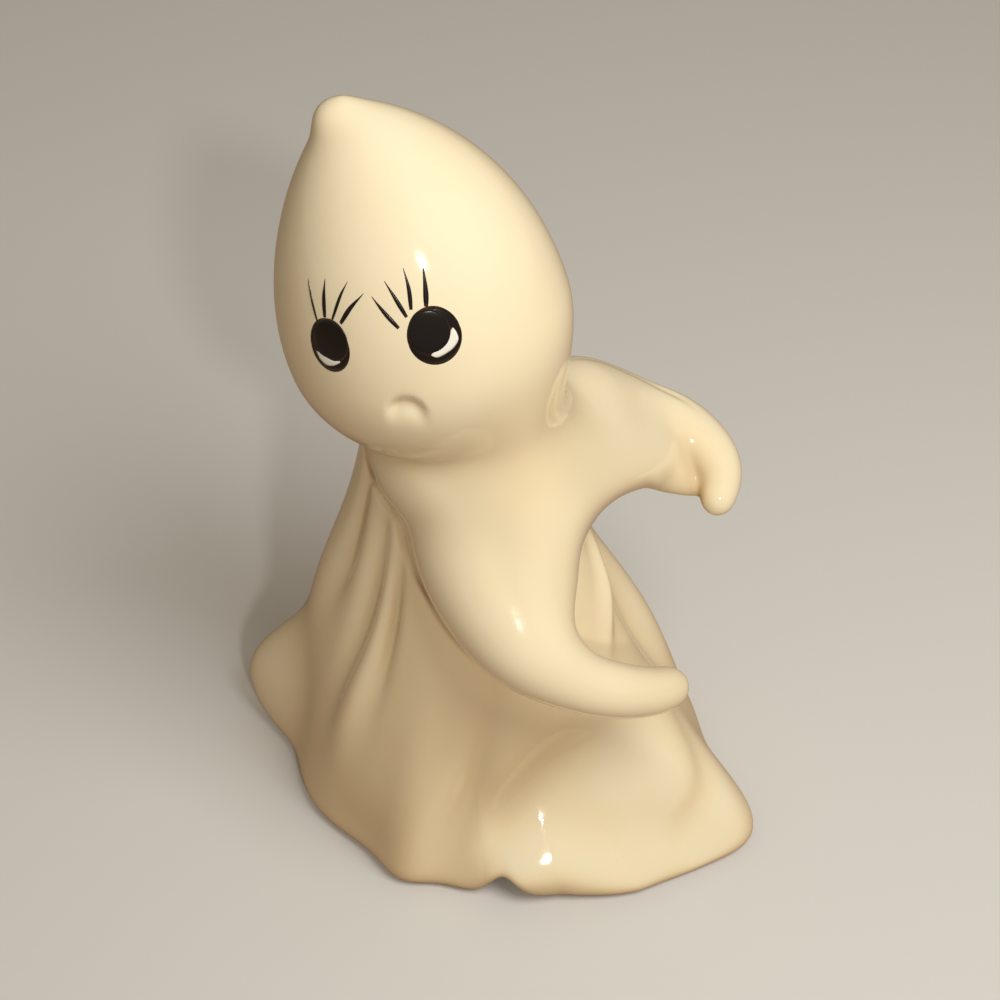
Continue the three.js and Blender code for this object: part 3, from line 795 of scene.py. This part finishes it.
def brushed(name, low_edge, high_edge, cells, coat, node, enamel):
    """A closed film of enamel between two edges, given in millimetres across and up the face."""
    rows = len(low_edge)
    flat, depth = [], []
    for i in range(rows):
        for j in range(cells + 1):
            across, up = low_edge[i] + (high_edge[i] - low_edge[i]) * j / cells
            flat.append(face_point(across, up))
            to_edge = 4 * (j / cells) * (1 - j / cells)
            to_end = min(1.0, 6 * min(i, rows - 1 - i) / (rows - 1))
            depth.append(min(1.0, 2.5 * to_edge) * to_end)
    flat = settle(figure, np.array(flat), 4)
    out = slope_of(figure, flat, figure(flat))
    out /= np.linalg.norm(out, axis=1)[:, None]
    depth = np.array(depth)[:, None]
    lift, thickness = coat
    skin = np.vstack([flat + out * (lift + thickness * depth), flat - out * SUNK_IN_GLAZE])
    number = np.arange(rows * (cells + 1)).reshape(rows, cells + 1)
    under = number + number.size
    rim = np.concatenate([number[0, :], number[1:, -1], number[-1, -2::-1], number[-2:0:-1, 0]])
    quads = []
    for i in range(rows - 1):
        for j in range(cells):
            quads.append((number[i, j], number[i + 1, j], number[i + 1, j + 1], number[i, j + 1]))
            quads.append((under[i, j], under[i, j + 1], under[i + 1, j + 1], under[i + 1, j]))
    for a, b in zip(rim, np.roll(rim, -1)):
        quads.append((a, b, b + number.size, a + number.size))
    mesh = bpy.data.meshes.new(name)
    mesh.from_pydata((skin * MM).tolist(), [], [tuple(int(v) for v in q) for q in quads])
    mesh.polygons.foreach_set("use_smooth", np.ones(len(quads), bool))
    layer = mesh.attributes.new("film", "FLOAT", "POINT")
    layer.data.foreach_set("value", np.concatenate([depth[:, 0], depth[:, 0]]).astype(np.float32))
    mesh.update()
    piece = bpy.data.objects.new(name, mesh)
    bpy.context.scene.collection.objects.link(piece)
    mesh.materials.append(ENAMELS[enamel])
    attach(piece, "root")
    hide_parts(node)


def oval_edges(centre, half_width, half_height):
    """The lower and the upper edge of an oval, each from just inside its left end to its right end."""
    a = math.pi * (0.04 + 0.92 * np.arange(OVAL_STEPS + 1) / OVAL_STEPS)
    x = centre[0] - half_width * np.cos(a)
    rise = half_height * np.sin(a)
    return np.stack([x, centre[1] - rise], 1), np.stack([x, centre[1] + rise], 1)


# Each eye: its middle, its oval, its iris (offset and half sizes), and the two edges of its crescent.
EYES = {
    "left": {
        "middle": (-8.94, 0.73), "oval": (3.86, 4.13),
        "iris": ((0.45, 0.75), (3.35, 3.35)),
        "white_top": [(-3.0, -0.9), (-0.7, -1.5), (0.3, -2.2), (1.6, -2.3)],
        "white_bottom": [(-2.5, -2.1), (-1.5, -3.0), (0.0, -3.1), (1.5, -2.6)],
    },
    "right": {
        "middle": (8.5, -0.75), "oval": (4.15, 4.4),
        "iris": ((-0.55, 0.7), (3.2, 3.6)),
        "white_top": [(-1.8, -2.0), (-0.9, -1.9), (0.5, -1.5), (1.7, -0.8), (2.8, 0.1), (3.1, 0.1)],
        "white_bottom": [(-1.5, -2.5), (-0.7, -3.2), (0.7, -3.1), (2.1, -2.7), (3.2, -1.8), (3.3, -0.6)],
    },
}
# Each lash: its root, a place half way and its tip on the face, and its width in the middle.
LASHES = {
    "left": [
        ((-10.6, 4.45), (-11.5, 7.75), (-12.1, 10.15), 0.45),
        ((-8.8, 4.95), (-8.5, 7.85), (-7.9, 10.25), 0.75),
        ((-7.3, 4.65), (-5.1, 7.75), (-3.2, 9.65), 0.5),
        ((-5.8, 4.05), (-3.5, 6.05), (-0.6, 7.75), 0.7),
    ],
    "right": [
        ((8.8, 3.65), (9.7, 6.05), (10.8, 9.5), 0.8),
        ((6.4, 3.95), (7.1, 6.85), (7.3, 9.65), 0.65),
        ((5.4, 3.15), (4.5, 6.05), (3.5, 8.75), 0.65),
        ((3.7, 1.95), (2.1, 4.65), (0.7, 7.15), 0.65),
    ],
}
# A lash is fullest a little below its middle and runs out to a fine tip.
LASH_WIDENS = 1.35


def paint_eye(side, eye):
    middle = np.array(eye["middle"])
    low, high = oval_edges(middle, *eye["oval"])
    brushed(f"{side}_eye_line", low, high, OVAL_CELLS, LINE_COAT, f"{side}_eye_underline", "black_enamel")
    low = middle + brush_line(eye["white_bottom"])
    high = middle + brush_line(eye["white_top"])
    brushed(f"{side}_eye_white", low, high, WHITE_CELLS, WHITE_COAT, f"{side}_eye_crescent", "white_enamel")
    offset, half_sizes = eye["iris"]
    low, high = oval_edges(middle + np.array(offset), *half_sizes)
    brushed(f"{side}_eye_round", low, high, OVAL_CELLS, IRIS_COAT, f"{side}_eye_iris", "black_enamel")


def paint_lash(name, node, root, half_way, tip, width):
    line = brush_line([root, half_way, tip])
    way = np.gradient(line, axis=0)
    way /= np.linalg.norm(way, axis=1)[:, None]
    share = np.linspace(0, 1, len(line))
    fullness = 0.55 + 0.45 * np.sin(np.pi * np.clip(share * 1.15, 0, 1))
    half = width / 2 * fullness * np.sqrt(1.02 - share)
    across = np.stack([way[:, 1], -way[:, 0]], 1) * half[:, None] * LASH_WIDENS
    brushed(name, line - across, line + across, LASH_CELLS, LASH_COAT, node, "black_enamel")


for side, eye in EYES.items():
    paint_eye(side, eye)
    for i, lash in enumerate(LASHES[side], 1):
        paint_lash(f"{side}_lash_{i}", f"{side}_eye_lash_{i}", *lash)


# The floor, the lamps and the camera
# A plain pale floor under plain soft light from the upper right, with one small bright lamp that the glaze
# mirrors. The floor looks pale to the camera and throws a warmer light back on the figure.
FLOOR_SEEN = (0.72, 0.71, 0.69)
FLOOR_BOUNCE = (0.45, 0.34, 0.25)
FLOOR_HALF = 3.0


def floor_material():
    material = bpy.data.materials.new("pale_floor")
    material.use_nodes = True
    nodes, links = material.node_tree.nodes, material.node_tree.links
    shader = nodes["Principled BSDF"]
    ray = nodes.new("ShaderNodeLightPath")
    tone = nodes.new("ShaderNodeMix")
    tone.data_type = "RGBA"
    tone.inputs["A"].default_value = (*FLOOR_BOUNCE, 1)
    tone.inputs["B"].default_value = (*FLOOR_SEEN, 1)
    links.new(ray.outputs["Is Camera Ray"], tone.inputs["Factor"])
    links.new(tone.outputs["Result"], shader.inputs["Base Color"])
    shader.inputs["Roughness"].default_value = 0.6
    return material


floor_mesh = bpy.data.meshes.new("floor")
floor_corners = [(x * FLOOR_HALF, y * FLOOR_HALF, 0) for x, y in ((-1, -1), (1, -1), (1, 1), (-1, 1))]
floor_mesh.from_pydata(floor_corners, [], [(0, 1, 2, 3)])
floor_mesh.materials.append(floor_material())
floor = bpy.data.objects.new("floor", floor_mesh)
bpy.context.scene.collection.objects.link(floor)

# The camera looks down at the figure's middle, in millimetres. Its focal length is a share of its width.
AIM = np.array([1.12, 3.13, 70.0])
CAMERA_DISTANCE = 353.0
CAMERA_PITCH = math.radians(45)
CAMERA_ROLL = math.radians(1.455)
SENSOR_WIDTH = 36
FOCAL_SHARE = 2.051


def look(obj, position, target, roll=0.0):
    way = Vector(target) - Vector(position)
    turn = way.to_track_quat("-Z", "Y")
    obj.rotation_mode = "QUATERNION"
    obj.rotation_quaternion = turn @ Quaternion((0, 0, 1), roll)
    obj.location = position


camera_data = bpy.data.cameras.new("photo_camera")
camera_data.sensor_width = SENSOR_WIDTH
camera_data.lens = SENSOR_WIDTH * FOCAL_SHARE
camera_data.clip_start = 0.01
camera = bpy.data.objects.new("photo_camera", camera_data)
bpy.context.scene.collection.objects.link(camera)
back = np.array([0, -math.cos(CAMERA_PITCH), math.sin(CAMERA_PITCH)]) * CAMERA_DISTANCE
look(camera, (AIM + back) * MM, AIM * MM, -CAMERA_ROLL)
bpy.context.scene.camera = camera


def area_lamp(name, position, target, size, power, colour):
    data = bpy.data.lights.new(name, "AREA")
    data.shape = "DISK"
    data.size = size
    data.energy = power
    data.color = colour
    lamp = bpy.data.objects.new(name, data)
    bpy.context.scene.collection.objects.link(lamp)
    look(lamp, position, target)
    return lamp


# The big lamp gives the shading, and the small one the glints. Places are in metres.
KEY_LAMP = {"place": (0.16, -0.17, 0.42), "target": (0, 0, 0.08), "size": 0.22, "power": 1.2}
KEY_COLOUR = (1.0, 1.0, 0.96)
FOREHEAD = np.array([-0.0094, -0.016, 0.136])
BULB_WAY = np.array([0.209, -0.785, 0.583])
BULB_DISTANCE = 1.5
BULB = {"target": (0, 0, 0.1), "size": 0.11, "power": 4.5}
BULB_COLOUR = (1.0, 0.98, 0.92)
ROOM_COLOUR = (1, 0.86, 0.68)
ROOM_STRENGTH = 0.3

key = area_lamp("key", colour=KEY_COLOUR, position=KEY_LAMP["place"], target=KEY_LAMP["target"],
                size=KEY_LAMP["size"], power=KEY_LAMP["power"])
key.visible_glossy = False
bulb_place = FOREHEAD + BULB_DISTANCE * BULB_WAY
area_lamp("bulb", bulb_place.tolist(), BULB["target"], BULB["size"], BULB["power"], BULB_COLOUR)

room = bpy.data.worlds.new("room")
bpy.context.scene.world = room
room.use_nodes = True
room.node_tree.nodes["Background"].inputs["Color"].default_value = (*ROOM_COLOUR, 1)
room.node_tree.nodes["Background"].inputs["Strength"].default_value = ROOM_STRENGTH
bpy.context.scene.view_settings.view_transform = "Standard"
